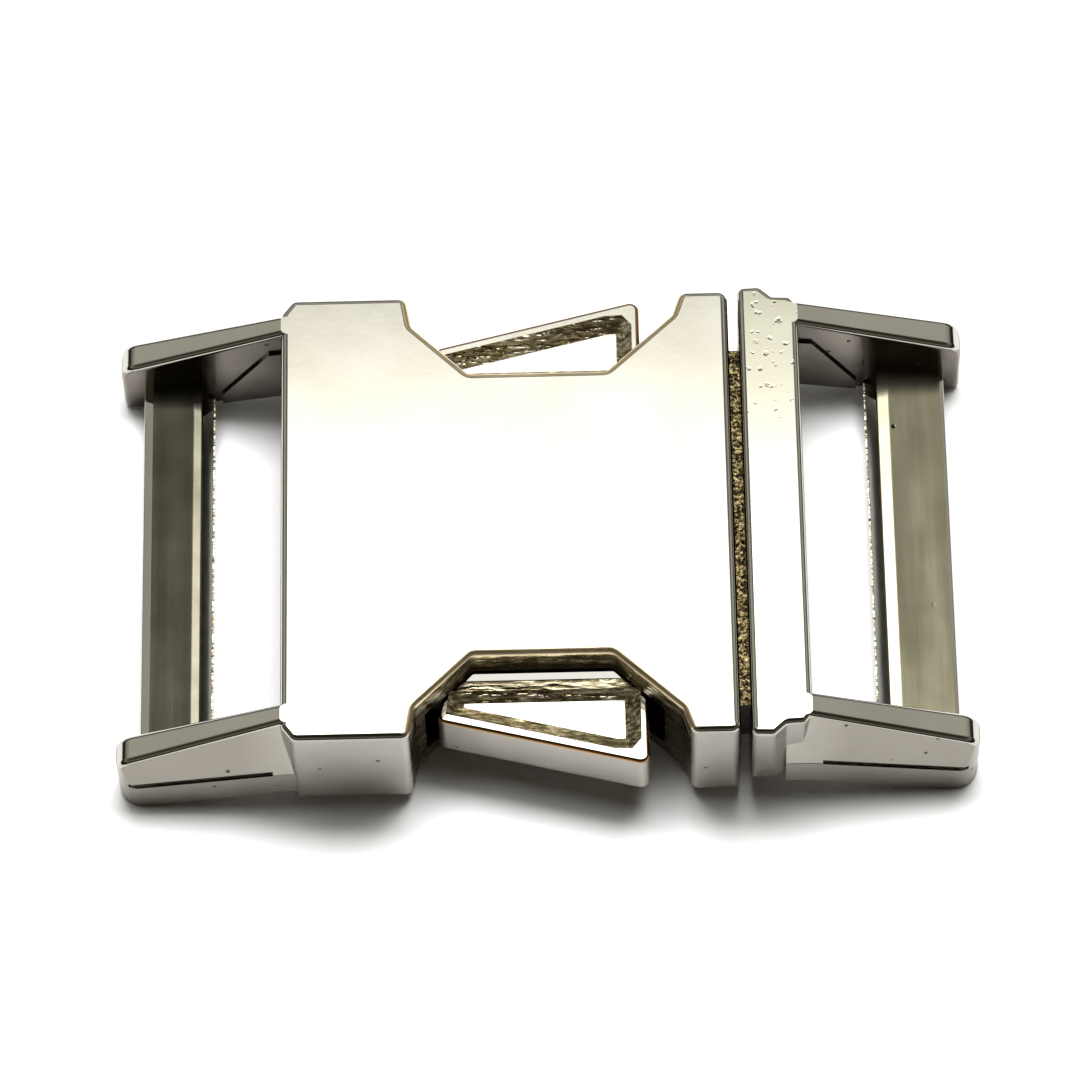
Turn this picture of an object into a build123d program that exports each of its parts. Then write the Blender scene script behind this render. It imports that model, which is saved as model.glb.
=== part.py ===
from build123d import *
import math
import os

# Contoured side-release buckle for 25 mm webbing, closed.
# Millimetres.  +X points from the socket half to the plug half, +Y to the
# back, +Z up.  The origin is the centre of the bounding box on the table.

# Overall envelope
HALF_LENGTH = 27.1        # centre to the end of either strap frame
TOP = 9.5                 # flat top of both halves
UNDERSIDE = 0.6           # flat underside of the socket

# Socket body
SOCKET_BACK = -16.5       # wall that faces the socket's webbing slot
MOUTH = 12.05             # open end that the plug enters
SOCKET_HALF_WIDTH = 15.6
SHOULDER_BEVEL_X = 0.75   # bevel across the two corners beside the arms
SHOULDER_BEVEL_Y = 1.0
TOP_EDGE = 0.45           # rounding of the top edges
BOTTOM_EDGE = 0.7         # rounding of the bottom edges

# Room inside the socket
CAVITY_END = -14.2
CAVITY_HALF_WIDTH = 12.95
CAVITY_LOW = 2.3
CAVITY_HIGH = 7.2

# Side windows, cut through top and bottom
WINDOW_INNER = 10.0       # |Y| of the straight inner edge
WINDOW_FLAT = (-4.55, 4.2)
WINDOW_LIP_BACK = (-8.15, 13.5)
WINDOW_LIP_FRONT = (8.45, 13.95)
WINDOW_OPEN_BACK = -8.65
WINDOW_OPEN_FRONT = 9.35

# Plug head
HEAD_MOUTH = 12.7         # face that closes against the socket mouth
HEAD_SLOT = 16.5          # wall that faces the plug's webbing slot
HEAD_UNDERSIDE = 1.7
HEAD_EDGE = 0.4
HEAD_LOW_EDGE = 0.5

# Tongue of the plug and the latches beside it
TONGUE_LOW = 2.6
TONGUE_HIGH = 6.8
SHOULDER_HALF_WIDTH = 12.6
SHOULDER_START = 9.0
SPINE_HALF_WIDTH = 2.5
NOSE_END = -13.5
EAR = 0.9                 # thickness of each of the two ears of the nose
EAR_GAP = 0.3             # air between an ear and the latch eye

# Latch pivots
PIVOT_X = -10.5
PIVOT_Y = 8.5
PIN_RADIUS = 0.9
EYE_BORE = 0.95
EYE_RADIUS = 1.9

# Latch pad
PAD_BACK = (-6.9, 13.2)
PAD_BARB = (6.4, 16.5)
PAD_INNER_FRONT = (6.4, 8.6)
PAD_INNER_BACK = (-5.7, 8.0)
PAD_EDGE = 0.25           # rounding of the top edges
PAD_LOW_EDGE = 0.55       # rounding of the bottom edges
PAD_LAND = (10.05, 11.1, 0.23)  # |Y| limits and slope of the lip inside the window
POCKET_DEPTH = 0.7
POCKET_SLOPE = 1.0        # width of the pocket's sloping walls

# Latch springs, coiled along Y
SPRING_X = 3.2
SPRING_RADIUS = 1.1       # to the middle of the wire
SPRING_WIRE = 0.4
SPRING_COILS = 7
SPRING_SEAT = 1.6         # radius of the two seats
SPINE_SEAT_FLOOR = 1.7
LATCH_SEAT_FLOOR = 9.7

# Strap frames (arms and bar)
SLOT_HALF_LENGTH = 13.0   # half of the 26 mm slot the webbing goes through
ARM_OUTER_BAND = 15.5     # |Y| of the low band along the arm's outer side
BAND_HEIGHT = 2.4
BAND_STEP = 0.03
GROOVE = 0.4              # height of the groove above the band
GROOVE_DEPTH = 0.3
ARM_ROOT_HEIGHT = 1.8     # underside of the arm where it leaves the body
FOOT = 2.4                # length of the flat foot at the end of an arm
GUSSET_RISE = 0.2         # pad on the inner wall beside the body
ARM_END_ROUND = 1.6
ARM_EDGE = 0.4
BAR_THICKNESS = 2.05
BAR_LIP = 0.7             # width of the steep facet along the bar's inner edge
# Each bar: distance of its two edges from the centre, then the widths of the
# level facet beside the lip and of the chamfer along the outer edge
BAR_SOCKET = (21.2, 25.7, 0.55, 0.6)
BAR_PLUG = (20.9, 26.0, 0.75, 0.25)
ARM_SOCKET = (23.4, 14.4)  # degrees the arm's top falls, and |Y| of its outer edge
ARM_PLUG = (20.6, 14.65)


def plan(points, low, high):
    """Prism between two heights over an outline in the XY plane."""
    outline = make_face(Polyline(*points, close=True))
    return extrude(Pos(0, 0, low) * outline, high - low)


def across(points, low, high, rounds=()):
    """Prism along Y over an outline in XZ; rounds pairs a corner with a radius."""
    outline = make_face(Polyline(*points, close=True))
    for corner, radius in rounds:
        near = outline.vertices().sort_by_distance((corner[0], corner[1], 0))[0]
        outline = fillet(near, radius)
    upright = Plane(origin=(0, high, 0), x_dir=(1, 0, 0), z_dir=(0, -1, 0))
    return extrude(upright * outline, high - low)


def both_sides(shape):
    """The shape and its mirror image in the XZ plane, as a list."""
    return [shape, mirror(shape, about=Plane.XZ)]


def arm_rail(root, run, fall, outer_top):
    """Cross-section of an arm and its groove, run out along the sloping underside."""
    ledge = ARM_ROOT_HEIGHT + BAND_HEIGHT
    face = ARM_OUTER_BAND - BAND_STEP
    lean = (face - outer_top) / (TOP - ledge)
    above = TOP + 3
    section = make_face(Polyline(
        (SLOT_HALF_LENGTH, -3), (ARM_OUTER_BAND, -3), (ARM_OUTER_BAND, ledge),
        (face, ledge), (outer_top - 3 * lean, above), (SLOT_HALF_LENGTH, above), close=True,
    ))
    groove = make_face(Polyline(
        (face - GROOVE_DEPTH, ledge), (ARM_OUTER_BAND + 1, ledge),
        (ARM_OUTER_BAND + 1, ledge + GROOVE), (face - GROOVE_DEPTH, ledge + GROOVE), close=True,
    ))
    facing = Plane(origin=(root, 0, 0), x_dir=(0, 1, 0), z_dir=(1, 0, 0))
    along = Vector(math.cos(fall), 0, -math.sin(fall))
    rail = extrude(facing * section, run + 3, dir=along)
    rail += extrude(facing * section, 1.6, dir=(-1, 0, 0))
    start = Pos(0.7, 0, -0.7 * math.tan(fall))
    return rail - start * extrude(facing * groove, run - 1.3, dir=along)


def bar_rod(fall, inner, outer, level, chamfer):
    """Faceted bar between the arms, parallel to their sloping underside."""
    drop = math.tan(fall)
    low_in = (HALF_LENGTH - inner) * drop
    low_out = (HALF_LENGTH - outer) * drop
    crest = low_in + BAR_THICKNESS
    flat_start = inner + BAR_LIP + level
    flat_end = outer - chamfer
    edge = crest - (flat_end - flat_start) * drop
    return across(
        [(inner, low_in + 0.9), (inner + BAR_LIP, crest), (flat_start, crest), (flat_end, edge),
         (outer, edge - 0.5 * chamfer), (outer, low_out), (inner + 0.5, low_in)],
        -SLOT_HALF_LENGTH - 0.5, SLOT_HALF_LENGTH + 0.5,
        [((inner + BAR_LIP, crest), 0.15), ((flat_start, crest), 0.6), ((flat_end, edge), 0.15),
         ((outer, edge - 0.5 * chamfer), 0.15), ((outer, low_out), 0.4),
         ((inner + 0.5, low_in), 0.3)],
    )


def corner_gusset(root, bar_edge):
    """Low three-cornered pad on an arm's inner wall, between body and bar."""
    end = bar_edge - 0.5
    return across(
        [(root - 0.5, TOP - 2.2), (root + 0.9, TOP - 2.4), (end, 1.9), (end, 0), (root - 0.5, 0)],
        SLOT_HALF_LENGTH - GUSSET_RISE, SLOT_HALF_LENGTH + 0.5,
    )


def strap_frame(root, shape, bar):
    """Two arms and a bar that leave a body at +X; root is the body's end wall."""
    slope, outer_top = shape
    run = HALF_LENGTH - root
    fall = math.atan2(ARM_ROOT_HEIGHT, run)
    end_top = TOP - run * math.tan(math.radians(slope))
    start = root - 1.6
    side = across(
        [(start, TOP), (root, TOP), (HALF_LENGTH, end_top), (HALF_LENGTH, 0),
         (HALF_LENGTH - FOOT, 0), (root, ARM_ROOT_HEIGHT), (start, ARM_ROOT_HEIGHT)],
        -16, 16,
        [((HALF_LENGTH, end_top), ARM_END_ROUND), ((HALF_LENGTH, 0), 0.6)],
    )
    rounded_end = extrude(
        Pos(HALF_LENGTH - 20, 0) * RectangleRounded(40, 2 * ARM_OUTER_BAND, 1.5), TOP + 5)
    arm = side & arm_rail(root, run, fall, outer_top) & rounded_end
    crest = arm.faces().filter_by(lambda f: f.normal_at().Z > 0.7).sort_by(SortBy.AREA)[-1]
    arm = fillet([e for e in crest.edges() if e.length > 5], ARM_EDGE)

    arm += corner_gusset(root, bar[0]) & side
    return both_sides(arm) + [bar_rod(fall, *bar)]


def socket_half():
    """Socket casting: body, cavity open at the mouth, side windows, strap frame."""
    back_x = SOCKET_BACK + SHOULDER_BEVEL_X
    back_y = SOCKET_HALF_WIDTH - SHOULDER_BEVEL_Y
    body = plan(
        [(SOCKET_BACK, -back_y), (back_x, -SOCKET_HALF_WIDTH),
         (MOUTH, -SOCKET_HALF_WIDTH), (MOUTH, SOCKET_HALF_WIDTH),
         (back_x, SOCKET_HALF_WIDTH), (SOCKET_BACK, back_y)],
        UNDERSIDE, TOP,
    )
    (back_x, back_y), (front_x, front_y) = WINDOW_LIP_BACK, WINDOW_LIP_FRONT
    window = plan(
        [(WINDOW_FLAT[0], WINDOW_INNER), (WINDOW_FLAT[1], WINDOW_INNER), (front_x, front_y),
         (WINDOW_OPEN_FRONT, 16.5), (WINDOW_OPEN_BACK, 16.5), (back_x, back_y)],
        0, TOP + 1,
    )
    for cut in both_sides(window):
        body -= cut
    body = fillet(body.edges().filter_by(Axis.Z), 0.6)
    body = fillet(body.faces().sort_by(Axis.Z)[-1].edges(), TOP_EDGE)
    body = fillet(body.faces().sort_by(Axis.Z)[0].edges(), BOTTOM_EDGE)

    for part in strap_frame(-SOCKET_BACK, ARM_SOCKET, BAR_SOCKET):
        body += mirror(part, about=Plane.YZ)
    body -= plan(
        [(CAVITY_END, -CAVITY_HALF_WIDTH), (MOUTH + 1, -CAVITY_HALF_WIDTH),
         (MOUTH + 1, CAVITY_HALF_WIDTH), (CAVITY_END, CAVITY_HALF_WIDTH)],
        CAVITY_LOW, CAVITY_HIGH,
    )
    return body


def plug_head():
    """Head of the plug; the swell at each end to grip it by dies away downwards."""
    top = [(HEAD_MOUTH, 15.85), (14.1, 15.9), (14.9, 15.15), (16.0, 15.1), (HEAD_SLOT, 14.5)]
    low = [(HEAD_MOUTH, 15.3), (14.1, 15.3), (14.9, 15.15), (16.0, 15.1), (HEAD_SLOT, 14.5)]
    faces = [
        Pos(0, 0, z) * make_face(Polyline(*half[::-1], *[(x, -y) for x, y in half], close=True))
        for z, half in ((HEAD_UNDERSIDE, low), (TOP, top))
    ]
    head = loft(faces, ruled=True)
    head = fillet([e for e in head.edges() if abs((e @ 1 - e @ 0).Z) > 5], 0.4)
    head = fillet(head.faces().sort_by(Axis.Z)[-1].edges(), HEAD_EDGE)
    return fillet(head.faces().sort_by(Axis.Z)[0].edges(), HEAD_LOW_EDGE)


def spring_seat(start, end):
    """Round seat for a latch spring between two distances from the centre plane."""
    middle = (TONGUE_LOW + TONGUE_HIGH) / 2
    seat = Cylinder(SPRING_SEAT, end - start, rotation=(90, 0, 0))
    return Pos(SPRING_X, (start + end) / 2, middle) * seat


def plug_half():
    """Plug casting: head, strap frame, spine, and a nose whose ears hold the pins."""
    body = plug_head()
    for part in strap_frame(HEAD_SLOT, ARM_PLUG, BAR_PLUG):
        body += part
    shoulder = [(HEAD_MOUTH + 1, SHOULDER_HALF_WIDTH), (SHOULDER_START, SHOULDER_HALF_WIDTH),
                (SHOULDER_START, 6), (SHOULDER_START - 2.5, SPINE_HALF_WIDTH)]
    nose = [(-8.0, SPINE_HALF_WIDTH), (-8.4, 6.6), (-8.4, 9.7), (-9.6, 10.9), (-12.3, 10.9),
            (NOSE_END, 9.6)]
    half = shoulder + nose
    tongue = plan(half + [(x, -y) for x, y in half[::-1]], TONGUE_LOW, TONGUE_HIGH)
    eye_room = [(-12.7, SPINE_HALF_WIDTH + 0.8), (-12.7, 12), (-7, 12), (-7, SPINE_HALF_WIDTH + 0.8)]
    room = plan(eye_room, TONGUE_LOW + EAR, TONGUE_HIGH - EAR)
    bore = Pos(PIVOT_X, PIVOT_Y, (TONGUE_LOW + TONGUE_HIGH) / 2) * Cylinder(PIN_RADIUS, 6)
    for cut in both_sides(room) + both_sides(bore):
        tongue -= cut
    for seat in both_sides(spring_seat(SPINE_SEAT_FLOOR, SPINE_HALF_WIDTH + 1)):
        tongue -= seat
    return body + tongue


def latch():
    """Rear latch: eye, neck and press pad; the other latch is its mirror image."""
    pad = plan([PAD_BACK, PAD_BARB, PAD_INNER_FRONT, PAD_INNER_BACK], TONGUE_LOW, TONGUE_HIGH)
    upright = pad.edges().filter_by(Axis.Z)
    pad = fillet(upright.sort_by_distance(PAD_BARB + (5,))[0], 0.6)
    pad = fillet(pad.edges().filter_by(Axis.Z).sort_by_distance(PAD_BACK + (5,))[0], 0.6)
    pad = fillet(pad.faces().sort_by(Axis.Z)[-1].edges(), PAD_EDGE)
    pad = fillet(pad.faces().sort_by(Axis.Z)[0].edges(), PAD_LOW_EDGE)

    slope = math.atan2(PAD_BARB[1] - PAD_BACK[1], PAD_BARB[0] - PAD_BACK[0])
    rim = make_face(Polyline(
        (-6.3, 12.75), (4.2, 12.75 + 10.5 * math.tan(slope)), (5.3, 15.4), (5.9, 14.7),
        (5.9, 10.75), (-6.0, 10.75), close=True,
    ))
    floor = offset(rim, -POCKET_SLOPE, kind=Kind.INTERSECTION)
    pad -= loft([Pos(0, 0, TONGUE_HIGH) * rim, Pos(0, 0, TONGUE_HIGH - POCKET_DEPTH) * floor], ruled=True)

    land_start, land_end, fall = PAD_LAND
    land = make_face(Polyline(
        (land_start, TONGUE_HIGH), (land_end, TONGUE_HIGH - (land_end - land_start) * fall),
        (land_end, TONGUE_HIGH + 1), (land_start, TONGUE_HIGH + 1), close=True,
    ))
    pad -= extrude(Plane(origin=(-6.0, 0, 0), x_dir=(0, 1, 0), z_dir=(1, 0, 0)) * land, 11.9)

    eye_low = TONGUE_LOW + EAR + EAR_GAP
    eye_high = TONGUE_HIGH - EAR - EAR_GAP
    eye = Pos(PIVOT_X, PIVOT_Y, (eye_low + eye_high) / 2) * Cylinder(EYE_RADIUS, eye_high - eye_low)
    eye += plan(
        [(PIVOT_X - EYE_RADIUS, PIVOT_Y), (PIVOT_X - EYE_RADIUS, PIVOT_Y + EYE_RADIUS),
         (PIVOT_X, PIVOT_Y + EYE_RADIUS), (-5.5, 11.2), (-5.0, 8.0), (PIVOT_X, PIVOT_Y - EYE_RADIUS)],
        eye_low, eye_high,
    )
    eye -= Pos(PIVOT_X, PIVOT_Y, 5) * Cylinder(EYE_BORE, 10)
    return pad + eye - spring_seat(PAD_INNER_FRONT[1] - 2, LATCH_SEAT_FLOOR)


def pivot_pin():
    """Pin pressed into both ears of the nose."""
    height = TONGUE_HIGH - TONGUE_LOW
    return Pos(PIVOT_X, PIVOT_Y, TONGUE_LOW + height / 2) * Cylinder(PIN_RADIUS, height)


def latch_spring():
    """Compression spring coiled along Y between the spine and the latch."""
    start = SPINE_SEAT_FLOOR + SPRING_WIRE / 2 + 0.05
    length = LATCH_SEAT_FLOOR - SPINE_SEAT_FLOOR - SPRING_WIRE - 0.1
    middle = (TONGUE_LOW + TONGUE_HIGH) / 2
    coil = Helix(
        pitch=length / SPRING_COILS, height=length, radius=SPRING_RADIUS,
        center=(SPRING_X, start, middle), direction=(0, 1, 0),
    )
    wire = Plane(origin=coil @ 0, z_dir=coil % 0) * Circle(SPRING_WIRE / 2)
    return sweep(wire, path=coil, is_frenet=True)


def single(shape):
    """The one solid of a shape."""
    solids = shape.solids()
    assert len(solids) == 1, len(solids)
    return solids[0]


def main():
    rear_latch = latch()
    rear_pin = pivot_pin()
    rear_spring = latch_spring()
    nodes = {
        "female_body": socket_half(),
        "male_plug": plug_half(),
        "latch_rear": rear_latch,
        "latch_front": mirror(rear_latch, about=Plane.XZ),
        "pivot_pin_rear": rear_pin,
        "pivot_pin_front": mirror(rear_pin, about=Plane.XZ),
        "latch_spring_rear": rear_spring,
        "latch_spring_front": mirror(rear_spring, about=Plane.XZ),
    }
    os.makedirs("parts", exist_ok=True)
    for name, shape in nodes.items():
        export_step(single(shape), f"parts/{name}.step")


main()
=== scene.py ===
import math

import bpy
import bmesh
from mathutils import Matrix, Vector


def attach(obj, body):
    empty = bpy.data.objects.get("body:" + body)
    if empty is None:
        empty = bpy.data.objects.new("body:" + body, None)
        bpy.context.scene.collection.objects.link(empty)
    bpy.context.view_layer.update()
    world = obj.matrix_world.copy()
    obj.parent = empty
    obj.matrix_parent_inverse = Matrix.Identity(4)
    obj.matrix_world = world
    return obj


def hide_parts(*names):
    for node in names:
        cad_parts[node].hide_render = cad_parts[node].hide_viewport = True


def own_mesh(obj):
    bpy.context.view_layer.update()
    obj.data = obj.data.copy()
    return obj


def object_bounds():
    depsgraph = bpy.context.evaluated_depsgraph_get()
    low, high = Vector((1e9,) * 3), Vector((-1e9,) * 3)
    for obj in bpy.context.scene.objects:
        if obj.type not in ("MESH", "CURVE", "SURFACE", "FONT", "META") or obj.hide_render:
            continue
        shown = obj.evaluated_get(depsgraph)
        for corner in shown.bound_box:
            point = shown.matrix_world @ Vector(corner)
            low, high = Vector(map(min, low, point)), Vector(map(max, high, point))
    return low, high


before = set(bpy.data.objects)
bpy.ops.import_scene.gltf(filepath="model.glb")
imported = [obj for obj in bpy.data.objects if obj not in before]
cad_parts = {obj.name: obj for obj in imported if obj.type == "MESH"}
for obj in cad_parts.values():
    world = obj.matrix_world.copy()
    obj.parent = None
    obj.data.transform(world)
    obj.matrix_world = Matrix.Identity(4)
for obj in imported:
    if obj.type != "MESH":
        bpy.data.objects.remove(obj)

# Closed side-release buckle.  Metres, in the frame of the CAD: +X from the
# socket half to the plug half, +Y to the back, +Z up, floor at Z = 0.

for stray in ("Cube", "Light", "Camera"):
    if stray in bpy.data.objects:
        bpy.data.objects.remove(bpy.data.objects[stray])

CAD_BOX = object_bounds()
TOP = CAD_BOX[1].z
MM = 0.001

# Camera: degrees, metres, and a lens and sensor in millimetres
ELEVATION = 62.7
TURN = -1.05
ROLL = 2.2
DISTANCE = 0.410
AIM = -0.1 * MM                    # X of the point it turns about
SENSOR = 36
LENS = 216.5314
SHIFT = (0.000554, -0.029244)      # of the frame, across and up

# Light.  A direction's Z or Y runs from -1 to 1.
WALLS = [                          # a direction's Z, and the walls' brightness there
    (0.00, 0.03), (0.24, 0.04), (0.38, 0.40), (0.55, 0.62),
    (0.68, 0.62), (0.76, 0.26), (0.84, 0.20), (1.00, 0.25),
]
WALL_TINT = (1.0, 0.975, 0.86)
FRONT_LOW = (0.55, 0.53, 0.48)     # tint of the walls on the camera's side, low down
FRONT_HIGH = (0.12, 0.10, 0.075)   # and high up
FRONT_RISE = (0.38, 0.60)          # Z over which one tint turns into the other
FRONT_REACH = (0.05, 0.42)         # Y over which both fade out
PANEL = 6.0                        # brightness of the panel overhead
PANEL_HEIGHT = (0.860, 0.915)      # Z of the directions in which it fades in
PANEL_DEPTH = (-0.04, 0.10)        # and Y
PANEL_EDGE = (1.0, 0.985, 0.86)
PANEL_MIDDLE = (1.0, 1.0, 0.985)
KEY = 4.6                          # watts
KEY_SIZE = (0.30, 0.16)
KEY_PLACE = (0.02, 0.14, 0.42)

# Colours that more than one finish has, and the table's
NICKEL = (0.50, 0.485, 0.45)
NICKEL_DARK = (0.45, 0.435, 0.395)
PORE = (0.05, 0.045, 0.04)
# painted shade towards the foot of the window walls
PAINTED_SHADE = (0.16, 0.125, 0.07)
TABLE = (0.61, 0.61, 0.61)
TABLE_DARK = (0.58, 0.58, 0.58)

# Scales of the patterns, per metre
TABLE_SCALE = 30
DRIFT_SCALE = 160
WAVE_SCALE = 220
ROUGHNESS_SCALE = 420
PORE_SCALE = 620
DENT_SCALE = 1700

# Places in the CAD where one finish meets the next, in millimetres
ARM_ROOT = 16.6                    # |X| where the strap arms begin
ENDS = (15.0, 19.0)                # |X| over which painted shade darkens the colour of the sides
SLOT_WALL = 13.3                   # |Y| inside which a wall faces a webbing slot
BAR_EDGE = 20.85                   # |X| of the strap bars' inner edges
BAR_END = 13.02                    # |Y| of their ends
BAR_TOP = 4.2                      # Z that they stay below
CAVITY_X = (-14.3, 12.06)
CAVITY_Y = 12.97
CAVITY_Z = (2.25, 7.25)
WINDOW_X = (-9.2, 9.9)
WINDOW_Y = (9.5, 15.3)
MOUTH = 12.0                       # X past which the socket faces the gap
HEAD = 12.75                       # X where the plug's head begins
TONGUE_SEEN = 9.0                  # X past which the tongue shows in the gap
POCKET_Z = (6.0, 6.79)             # the pocket of a latch's press pad
PAD_MIDDLE = (0.2, 12.9)           # X and |Y|
LIP_Y = (10.0, 11.2)
PAD_FRONT = -6.9                   # X before which a latch is hidden
PAD_INNER = 8.7                    # |Y| inside which it is hidden
LAND_Y = 10.5                      # |Y| inside which a pad's lip is polished
DENTS_AND_SHADE_Y = (2.0, 9.0)              # Y over which the plug's dents and a painted shade set in

SCENE = bpy.context.scene
SCENE.view_settings.view_transform = "Standard"
SCENE.view_settings.look = "None"


# ---------------------------------------------------------------- camera

def make_camera():
    """Long lens above the front edge of the buckle."""
    elevation, turn, roll = (math.radians(angle) for angle in (ELEVATION, TURN, ROLL))
    side = Vector((math.cos(turn), -math.sin(turn), 0))
    up = Vector((
        math.sin(turn) * math.sin(elevation),
        math.cos(turn) * math.sin(elevation),
        math.cos(elevation),
    ))
    back = side.cross(up)
    right = math.cos(roll) * side - math.sin(roll) * up
    top = math.sin(roll) * side + math.cos(roll) * up
    data = bpy.data.cameras.new("camera")
    data.sensor_width = SENSOR
    data.lens = LENS
    data.shift_x, data.shift_y = SHIFT
    data.clip_start = 0.01
    camera = bpy.data.objects.new("camera", data)
    place = Vector((AIM, 0, TOP)) + DISTANCE * back
    camera.matrix_world = Matrix((
        (right.x, top.x, back.x, place.x),
        (right.y, top.y, back.y, place.y),
        (right.z, top.z, back.z, place.z),
        (0, 0, 0, 1),
    ))
    SCENE.collection.objects.link(camera)
    SCENE.camera = camera


# ---------------------------------------------------------------- nodes

def add(tree, kind, **settings):
    """A new shader node with some of its settings changed."""
    node = tree.nodes.new("ShaderNode" + kind)
    for name, value in settings.items():
        setattr(node, name, value)
    return node


def feed(tree, value, socket):
    """Give an input a value, which is a number, a colour or another node's output."""
    if isinstance(value, bpy.types.NodeSocket):
        tree.links.new(value, socket)
    elif isinstance(value, tuple):
        socket.default_value = (*value, 1)
    else:
        socket.default_value = value


def calculate(tree, operation, *values):
    """Result of arithmetic on numbers or sockets."""
    node = add(tree, "Math", operation=operation)
    for value, socket in zip(values, node.inputs):
        feed(tree, value, socket)
    return node.outputs[0]


def remap(tree, value, low, high, to_low, to_high):
    """Clamped linear change of range."""
    node = add(tree, "MapRange")
    for socket, number in zip(("From Min", "From Max", "To Min", "To Max"),
                              (low, high, to_low, to_high)):
        node.inputs[socket].default_value = number
    tree.links.new(value, node.inputs["Value"])
    return node.outputs["Result"]


def mix_colour(tree, factor, a, b, blend="MIX"):
    """Colour between a and b, each a tuple or a socket."""
    node = add(tree, "Mix", data_type="RGBA", blend_type=blend)
    for value, socket in ((factor, 0), (a, 6), (b, 7)):
        feed(tree, value, node.inputs[socket])
    return node.outputs[2]


def along(tree, axis, source="Object"):
    """Coordinate along an axis."""
    where = add(tree, "TexCoord")
    split = add(tree, "SeparateXYZ")
    tree.links.new(where.outputs[source], split.inputs[0])
    return split.outputs[axis]


def from_middle(tree, axis):
    """Distance from the middle plane across an axis."""
    return calculate(tree, "ABSOLUTE", along(tree, axis))


# ---------------------------------------------------------------- light

def make_world():
    """Light tent: grey walls, darker towards the camera, and a bright panel overhead."""
    world = bpy.data.worlds.new("tent")
    SCENE.world = world
    world.use_nodes = True
    tree = world.node_tree
    tree.nodes.clear()
    height = along(tree, "Z", "Generated")
    depth = along(tree, "Y", "Generated")
    ramp = add(tree, "ValToRGB")
    elements = ramp.color_ramp.elements
    while len(elements) > 1:
        elements.remove(elements[-1])
    for index, (place, level) in enumerate(WALLS):
        stop = elements[0] if index == 0 else elements.new(place)
        stop.position = place
        stop.color = (*(level * tint for tint in WALL_TINT), 1)
    tree.links.new(height, ramp.inputs[0])
    front = mix_colour(tree, remap(tree, height, *FRONT_RISE, 0, 1), FRONT_LOW, FRONT_HIGH)
    shade = mix_colour(tree, remap(tree, depth, *FRONT_REACH, 0, 1), front, (1.0, 1.0, 1.0))
    tent = add(tree, "Background")
    feed(tree, mix_colour(tree, 1.0, ramp.outputs["Color"], shade, "MULTIPLY"),
         tent.inputs["Color"])
    rise = remap(tree, height, *PANEL_HEIGHT, 0, 1)
    panel = calculate(tree, "MULTIPLY", rise, remap(tree, depth, *PANEL_DEPTH, 0, 1))
    lamp = add(tree, "Background")
    feed(tree, mix_colour(tree, rise, PANEL_EDGE, PANEL_MIDDLE), lamp.inputs["Color"])
    lamp.inputs["Strength"].default_value = PANEL
    mix = add(tree, "MixShader")
    tree.links.new(panel, mix.inputs[0])
    tree.links.new(tent.outputs[0], mix.inputs[1])
    tree.links.new(lamp.outputs[0], mix.inputs[2])
    output = add(tree, "OutputWorld")
    tree.links.new(mix.outputs[0], output.inputs["Surface"])


def make_key():
    """Large soft light, high behind the buckle, that the metal does not mirror."""
    data = bpy.data.lights.new("key", "AREA")
    data.shape = "RECTANGLE"
    data.size, data.size_y = KEY_SIZE
    data.energy = KEY
    light = bpy.data.objects.new("key", data)
    light.location = KEY_PLACE
    light.rotation_euler = (-Vector(KEY_PLACE)).to_track_quat("-Z", "Y").to_euler()
    light.visible_glossy = False
    SCENE.collection.objects.link(light)


# ---------------------------------------------------------------- materials

def new_material(name):
    """An empty node material and its Principled shader."""
    material = bpy.data.materials.new(name)
    material.use_nodes = True
    tree = material.node_tree
    tree.nodes.clear()
    shader = add(tree, "BsdfPrincipled")
    output = add(tree, "OutputMaterial")
    tree.links.new(shader.outputs[0], output.inputs["Surface"])
    return material, tree, shader


def new_metal(name):
    """The same, of metal."""
    material, tree, shader = new_material(name)
    shader.inputs["Metallic"].default_value = 1.0
    return material, tree, shader


def dress(tree, shader, colour, roughness, normal):
    """Link the three inputs that vary over a metal."""
    tree.links.new(colour, shader.inputs["Base Color"])
    tree.links.new(roughness, shader.inputs["Roughness"])
    tree.links.new(normal, shader.inputs["Normal"])


def noise(tree, scale, detail=3.0, stretch=(1, 1, 1)):
    """Noise over the object's own coordinates; returns its value."""
    where = add(tree, "TexCoord")
    mapping = add(tree, "Mapping")
    mapping.inputs["Scale"].default_value = stretch
    texture = add(tree, "TexNoise")
    texture.inputs["Scale"].default_value = scale
    texture.inputs["Detail"].default_value = detail
    tree.links.new(where.outputs["Object"], mapping.inputs["Vector"])
    tree.links.new(mapping.outputs[0], texture.inputs["Vector"])
    return texture.outputs["Fac"]


def drift(tree):
    """Slow change of tone over a few millimetres."""
    return remap(tree, noise(tree, DRIFT_SCALE, 4), 0.35, 0.65, 0, 1)


def bump(tree, height, depth, below=None):
    """Bump of a depth in millimetres; below is the normal it is added to."""
    node = add(tree, "Bump")
    node.inputs["Strength"].default_value = 1.0
    node.inputs["Distance"].default_value = depth * MM
    tree.links.new(height, node.inputs["Height"])
    if below is not None:
        tree.links.new(below, node.inputs["Normal"])
    return node.outputs[0]


def pores(tree, share):
    """Small round casting pores in a share of the cells of a Voronoi pattern."""
    where = add(tree, "TexCoord")
    cells = add(tree, "TexVoronoi")
    cells.inputs["Scale"].default_value = PORE_SCALE
    tree.links.new(where.outputs["Object"], cells.inputs["Vector"])
    split = add(tree, "SeparateColor")
    tree.links.new(cells.outputs["Color"], split.inputs[0])
    near = remap(tree, cells.outputs["Distance"], 0.05, 0.10, 1, 0)
    picked = remap(tree, split.outputs[0], share, share + 0.01, 1, 0)
    return calculate(tree, "MULTIPLY", near, picked)


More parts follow.
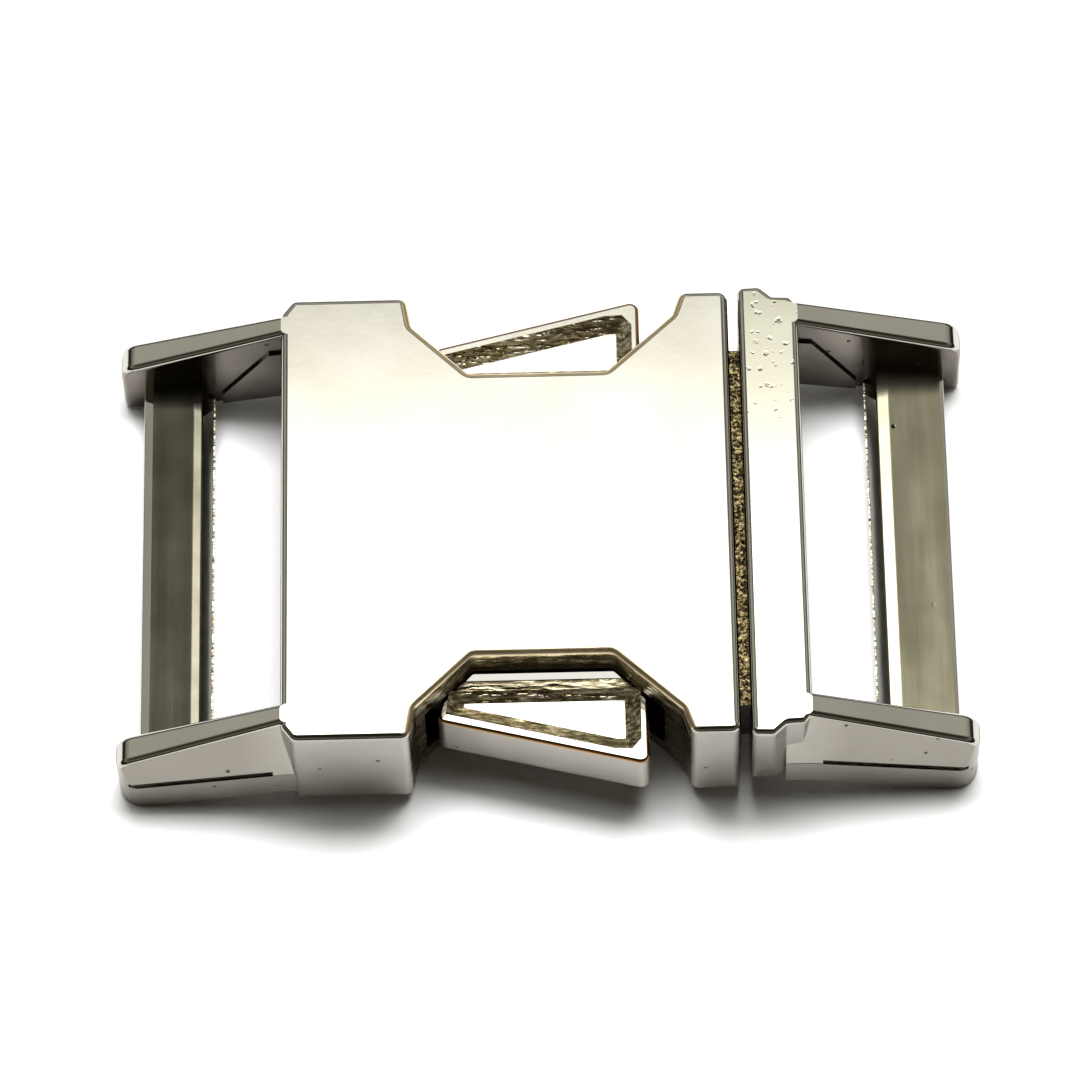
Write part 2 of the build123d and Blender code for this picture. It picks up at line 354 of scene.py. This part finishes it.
def plated(name, light, dark, rough, wave, grain, pits=0.0, stretch=(1, 1, 1),
           grain_scale=2500, ends=None):
    """Nickel plate: tone drift, slow waves, fine grain and optional casting pores.

    rough is a pair of limits; wave and grain are bump depths in millimetres;
    ends is a painted shade: the darker colour that takes over towards the two ends of the
    buckle.
    """
    material, tree, shader = new_metal(name)
    colour = mix_colour(tree, drift(tree), dark, light)
    # painted shade: the sides of the strap arms darken towards the ends
    if ends:
        far = remap(tree, from_middle(tree, "X"), ENDS[0] * MM, ENDS[1] * MM, 0, 1)
        colour = mix_colour(tree, far, colour, ends)
    normal = bump(tree, noise(tree, WAVE_SCALE, 2), wave)
    normal = bump(tree, noise(tree, grain_scale, 5, stretch), grain, normal)
    roughness = remap(tree, noise(tree, ROUGHNESS_SCALE, 5, stretch), 0.3, 0.7, *rough)
    if pits:
        pore = pores(tree, pits)
        colour = mix_colour(tree, pore, colour, PORE)
        normal = bump(tree, remap(tree, pore, 0, 1, 1, 0), 0.04, normal)
    dress(tree, shader, colour, roughness, normal)
    return material


def sparkle(name, light, dark, deep, cell, stretch=(1, 1, 1), low=None, land=None):
    """Rough casting skin: bright and dark flecks, and painted shade below a height.

    cell is the fleck size and deep the depth of the relief, in millimetres;
    low is the pair of heights in millimetres between which painted shade darkens the skin;
    land is the distance from the middle plane below which the metal is polished.
    """
    material, tree, shader = new_metal(name)
    fleck = noise(tree, 1000 / cell, 3, stretch)
    patch = noise(tree, 350 / cell, 2, stretch)
    colour = mix_colour(tree, remap(tree, fleck, 0.42, 0.62, 0, 1), dark, light)
    # painted shade: the skin darkens towards the foot of the wall, along a ragged line
    if low:
        ragged = 1.2
        level = calculate(tree, "MULTIPLY_ADD", patch, ragged * MM, along(tree, "Z"))
        limits = ((height + ragged / 2) * MM for height in low)
        colour = mix_colour(tree, remap(tree, level, *limits, 0, 1), PAINTED_SHADE, colour)
    rough = remap(tree, patch, 0.35, 0.65, 0.1, 0.35)
    if land:
        past = remap(tree, from_middle(tree, "Y"), (land - 0.03) * MM, (land + 0.03) * MM, 0, 1)
        colour = mix_colour(tree, past, NICKEL, colour)
        rough, patch, fleck = (calculate(tree, "MULTIPLY", value, past)
                               for value in (rough, patch, fleck))
    normal = bump(tree, patch, deep)
    normal = bump(tree, fleck, 0.6 * deep, normal)
    dress(tree, shader, colour, rough, normal)
    return material


def pitted_and_shaded_strip():
    """Polish with shallow dents that thicken towards the back, and painted shade that darkens it
    towards the back.
    """
    material, tree, shader = new_metal("pitted_and_shaded")
    back = remap(tree, along(tree, "Y"), DENTS_AND_SHADE_Y[0] * MM, DENTS_AND_SHADE_Y[1] * MM, 0, 1)
    dents = remap(tree, noise(tree, DENT_SCALE, 2), 0.63, 0.75, 0, 1)
    worn = calculate(tree, "MULTIPLY", back, dents)
    colour = mix_colour(tree, drift(tree), NICKEL_DARK, NICKEL)
    # painted shade: the strip darkens towards the back
    colour = mix_colour(tree, back, colour, (0.42, 0.41, 0.35))
    colour = mix_colour(tree, worn, colour, (0.24, 0.22, 0.17))
    normal = bump(tree, remap(tree, worn, 0, 1, 1, 0), 0.004)
    rough = remap(tree, noise(tree, ROUGHNESS_SCALE, 5), 0.3, 0.7, 0.06, 0.12)
    dress(tree, shader, colour, rough, normal)
    return material


PLATED = {
    "polish": dict(light=NICKEL, dark=NICKEL_DARK, rough=(0.05, 0.09), wave=0.003, grain=0.0004),
    # side: its ends colour is painted shade on the arms' sides
    "side": dict(light=(0.38, 0.357, 0.318), dark=(0.32, 0.30, 0.265), rough=(0.28, 0.36),
                 wave=0.012, grain=0.0015, pits=0.7, ends=(0.25, 0.232, 0.20)),
    # inner: painted shade, the slot-facing walls of the strap arms made much darker than the
    # nickel
    "inner": dict(light=(0.17, 0.15, 0.125), dark=(0.07, 0.06, 0.045), rough=(0.12, 0.22),
                  wave=0.02, grain=0.003, pits=0.5),
    "rim": dict(light=(0.80, 0.68, 0.47), dark=(0.55, 0.44, 0.27), rough=(0.26, 0.36),
                wave=0.01, grain=0.004),
    "edge": dict(light=(0.36, 0.20, 0.08), dark=(0.26, 0.14, 0.05), rough=(0.14, 0.22),
                 wave=0.01, grain=0.002),
    # inside: painted shade, the hidden faces in the cavity and under the plate made nearly black
    "inside": dict(light=(0.12, 0.11, 0.09), dark=(0.03, 0.025, 0.02), rough=(0.25, 0.5),
                   wave=0.06, grain=0.05, grain_scale=1400),
    "floor_of_pocket": dict(light=(0.60, 0.59, 0.56), dark=(0.50, 0.49, 0.45),
                            rough=(0.16, 0.3), wave=0.02, grain=0.004),
    "brushed": dict(light=(0.26, 0.245, 0.195), dark=(0.13, 0.12, 0.09), rough=(0.12, 0.22),
                    wave=0.006, grain=0.006, stretch=(1, 0.02, 1), grain_scale=3500),
    "satin": dict(light=(0.58, 0.55, 0.40), dark=(0.44, 0.415, 0.29), rough=(0.14, 0.24),
                  wave=0.010, grain=0.002, pits=0.4, stretch=(1, 0.1, 1)),
    "steel": dict(light=(0.55, 0.55, 0.56), dark=(0.45, 0.45, 0.46), rough=(0.2, 0.3),
                  wave=0.0, grain=0.002),
}

ROUGH_CAST = {
    # gap: real casting flecks, over a near-black base that is painted shade in the narrow gap
    # between the halves
    "gap": dict(light=(0.32, 0.25, 0.12), dark=(0.02, 0.017, 0.008), deep=0.12, cell=0.25),
    # cast: low paints shade onto the lower part of the window walls
    "cast": dict(light=(1.0, 0.92, 0.66), dark=(0.34, 0.28, 0.16), deep=0.10, cell=0.28,
                 stretch=(0.35, 0.35, 1.3), low=(7.7, 8.3)),
    "slope": dict(light=(1.0, 0.93, 0.72), dark=(0.30, 0.25, 0.14), deep=0.16, cell=0.26,
                  stretch=(0.25, 1.1, 1.1)),
    "lip": dict(light=(0.62, 0.55, 0.38), dark=(0.10, 0.08, 0.04), deep=0.10, cell=0.26,
                stretch=(0.2, 1.1, 1.1), land=LAND_Y),
}


def make_materials():
    """Every finish the buckle shows."""
    finishes = {name: plated(name, **settings) for name, settings in PLATED.items()}
    for name, settings in ROUGH_CAST.items():
        finishes[name] = sparkle(name, **settings)
    finishes["pitted_and_shaded"] = pitted_and_shaded_strip()
    return finishes


# ---------------------------------------------------------------- finishes by face

# In these rules c is a face's centre in millimetres and n its normal, whose
# parts are compared with the cosine of a tilt.

def paint(node, order, rule):
    """Give a CAD node the materials in order; rule picks one for each polygon."""
    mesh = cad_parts[node].data
    mesh.materials.clear()
    for name in order:
        mesh.materials.append(FINISH[name])
    for polygon in mesh.polygons:
        centre = polygon.center / MM
        polygon.material_index = order.index(rule(centre, polygon.normal))


def between(value, limits):
    """True inside a pair of limits."""
    return limits[0] < value < limits[1]


def upright(n):
    """True for a face that stands more than it lies."""
    return abs(n.z) < 0.4


def frame_finish(c, n, top_of_bar):
    """Finish of a polygon of a strap frame; None where the rest of the casting goes on."""
    x, y = abs(c.x), abs(c.y)
    if x < ARM_ROOT:
        return None
    if x > BAR_EDGE and y < BAR_END and c.z < BAR_TOP and abs(n.y) < 0.5:
        return top_of_bar if n.z > 0.9 else "polish"
    if upright(n):
        # walls that face a slot get the inner finish, a painted shade
        return "inner" if y < SLOT_WALL and abs(n.y) > 0.8 else "side"
    return None


def socket_finish(c, n):
    """Finish of one polygon of the socket."""
    y = abs(c.y)
    # faces in the cavity get the nearly black inside finish, a painted shade
    if between(c.x, CAVITY_X) and y < CAVITY_Y and between(c.z, CAVITY_Z):
        return "inside"
    if c.x < 0:
        found = frame_finish(c, n, "brushed")
        if found:
            return found
    if between(c.x, WINDOW_X) and between(y, WINDOW_Y) and n.z < 0.985 and c.z > 0.5:
        return "rim" if n.z > 0.3 else "cast"
    if upright(n):
        return "gap" if c.x > MOUTH and n.x > 0.9 else "side"
    return "polish"


def plug_finish(c, n):
    """Finish of one polygon of the plug."""
    if c.x < HEAD:
        return "gap" if c.x > TONGUE_SEEN and (n.z > 0.9 or n.x < -0.9) else "inside"
    found = frame_finish(c, n, "satin")
    if found:
        return found
    if c.z > TOP / MM - 0.01 and n.z > 0.99:
        return "pitted_and_shaded"
    return "side" if upright(n) else "polish"


def latch_finish(c, n):
    """Finish of one polygon of a latch."""
    y = abs(c.y)
    if between(c.z, POCKET_Z) and n.z > 0.2:
        if n.z > 0.98:
            return "floor_of_pocket"
        if n.z > 0.96 and between(y, LIP_Y):
            return "lip"
        middle_x, middle_y = PAD_MIDDLE
        outward = n.x * (c.x - middle_x) + n.y * (c.y - math.copysign(middle_y, c.y))
        return "edge" if outward > 0 else "slope"
    if c.x < PAD_FRONT or y < PAD_INNER:
        return "inside"
    return "side" if upright(n) else "polish"


def pin_finish(c, n):
    """A pin is bare steel all over."""
    return "steel"


# ---------------------------------------------------------------- floor

def make_floor():
    """Plain white table."""
    mesh = bpy.data.meshes.new("floor")
    build = bmesh.new()
    bmesh.ops.create_grid(build, x_segments=1, y_segments=1, size=1.2)
    build.to_mesh(mesh)
    build.free()
    floor = bpy.data.objects.new("floor", mesh)
    SCENE.collection.objects.link(floor)
    material, tree, shader = new_material("table")
    tone = mix_colour(tree, noise(tree, TABLE_SCALE), TABLE_DARK, TABLE)
    tree.links.new(tone, shader.inputs["Base Color"])
    shader.inputs["Roughness"].default_value = 0.7
    shader.inputs["Specular IOR Level"].default_value = 0.1
    mesh.materials.append(material)


# ---------------------------------------------------------------- springs

def coil_share(turn, turns):
    """Share of a spring's length reached after some of its turns; the end coils are closed."""
    open_pitch = 3.2               # times the closed pitch
    closed = min(turn, 1) + max(0, turn - turns + 1)
    opened = max(0, min(turn, turns - 1) - 1)
    return (closed + open_pitch * opened) / (2 + open_pitch * (turns - 2))


def make_spring(sign, name):
    """Compression spring behind a latch, with closed end coils."""
    radius, wire, x, z = 1.05 * MM, 0.2 * MM, 3.2 * MM, 4.7 * MM
    start, length = 1.98 * MM, 7.44 * MM
    turns, steps = 9, 40
    data = bpy.data.curves.new(name, "CURVE")
    data.dimensions = "3D"
    data.bevel_depth = wire
    data.bevel_resolution = 3
    spline = data.splines.new("POLY")
    spline.points.add(turns * steps)
    for i, point in enumerate(spline.points):
        turn = i / steps
        angle = 2 * math.pi * turn
        y = sign * (start + coil_share(turn, turns) * length)
        point.co = (x + radius * math.cos(angle), y, z + radius * math.sin(angle), 1)
    curve = bpy.data.objects.new(name + "_path", data)
    SCENE.collection.objects.link(curve)
    bpy.context.view_layer.update()
    mesh = bpy.data.meshes.new_from_object(curve.evaluated_get(
        bpy.context.evaluated_depsgraph_get()))
    bpy.data.objects.remove(curve)
    mesh.name = name
    for polygon in mesh.polygons:
        polygon.use_smooth = True
    mesh.materials.clear()
    mesh.materials.append(FINISH["steel"])
    spring = bpy.data.objects.new(name, mesh)
    SCENE.collection.objects.link(spring)
    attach(spring, "plug")
    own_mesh(spring)
    return spring


# ---------------------------------------------------------------- flash

def make_flash(name, body, x, z, inward, seed):
    """Ragged fin of casting flash along the parting line on a bar's inner edge.

    x and z are the edge's place; inward is the sign of X towards the slot.
    """
    half_length, sunk = 12.6 * MM, 0.15 * MM
    root_half, tip_half = 0.05 * MM, 0.015 * MM
    count = 240
    build = bmesh.new()
    rows = []
    for i in range(count + 1):
        y = half_length * (2 * i / count - 1)
        wobble = (math.sin(1.7 * i + seed) + math.sin(0.61 * i + 2 * seed)
                  + math.sin(3.1 * i * (1 + 0.1 * seed)))
        tip = x + inward * (0.03 + 0.035 * abs(wobble)) * MM
        root = x - inward * sunk
        level = z + 0.015 * math.sin(0.4 * i + seed) * MM
        rows.append([build.verts.new(point) for point in (
            (root, y, level + root_half),
            (tip, y, level + tip_half),
            (tip, y, level - tip_half),
            (root, y, level - root_half),
        )])
    for first, second in zip(rows, rows[1:]):
        for k in range(4):
            build.faces.new((first[k], first[(k + 1) % 4], second[(k + 1) % 4], second[k]))
    build.faces.new(rows[0][::-1])
    build.faces.new(rows[-1])
    bmesh.ops.recalc_face_normals(build, faces=build.faces)
    mesh = bpy.data.meshes.new(name)
    build.to_mesh(mesh)
    build.free()
    mesh.materials.append(FINISH["slope"])
    fin = bpy.data.objects.new(name, mesh)
    SCENE.collection.objects.link(fin)
    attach(fin, body)


# ---------------------------------------------------------------- the buckle

make_camera()
make_world()
make_key()
make_floor()

FINISH = make_materials()
paint("female_body", ["polish", "side", "inner", "cast", "rim", "inside", "gap", "brushed"],
      socket_finish)
paint("male_plug", ["polish", "side", "inner", "inside", "gap", "satin", "pitted_and_shaded"],
      plug_finish)
for latch in ("latch_front", "latch_rear"):
    paint(latch, ["polish", "side", "slope", "lip", "inside", "edge", "floor_of_pocket"],
          latch_finish)
for pin in ("pivot_pin_front", "pivot_pin_rear"):
    paint(pin, ["steel"], pin_finish)

for sign, end in ((-1, "front"), (1, "rear")):
    spring = make_spring(sign, "coil_" + end)
    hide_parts("latch_spring_" + end)

make_flash("flash_socket_bar", "socket", -21.2 * MM, 1.92 * MM, inward=1, seed=1)
make_flash("flash_plug_bar", "plug", 20.9 * MM, 1.97 * MM, inward=-1, seed=2)

bpy.context.view_layer.update()
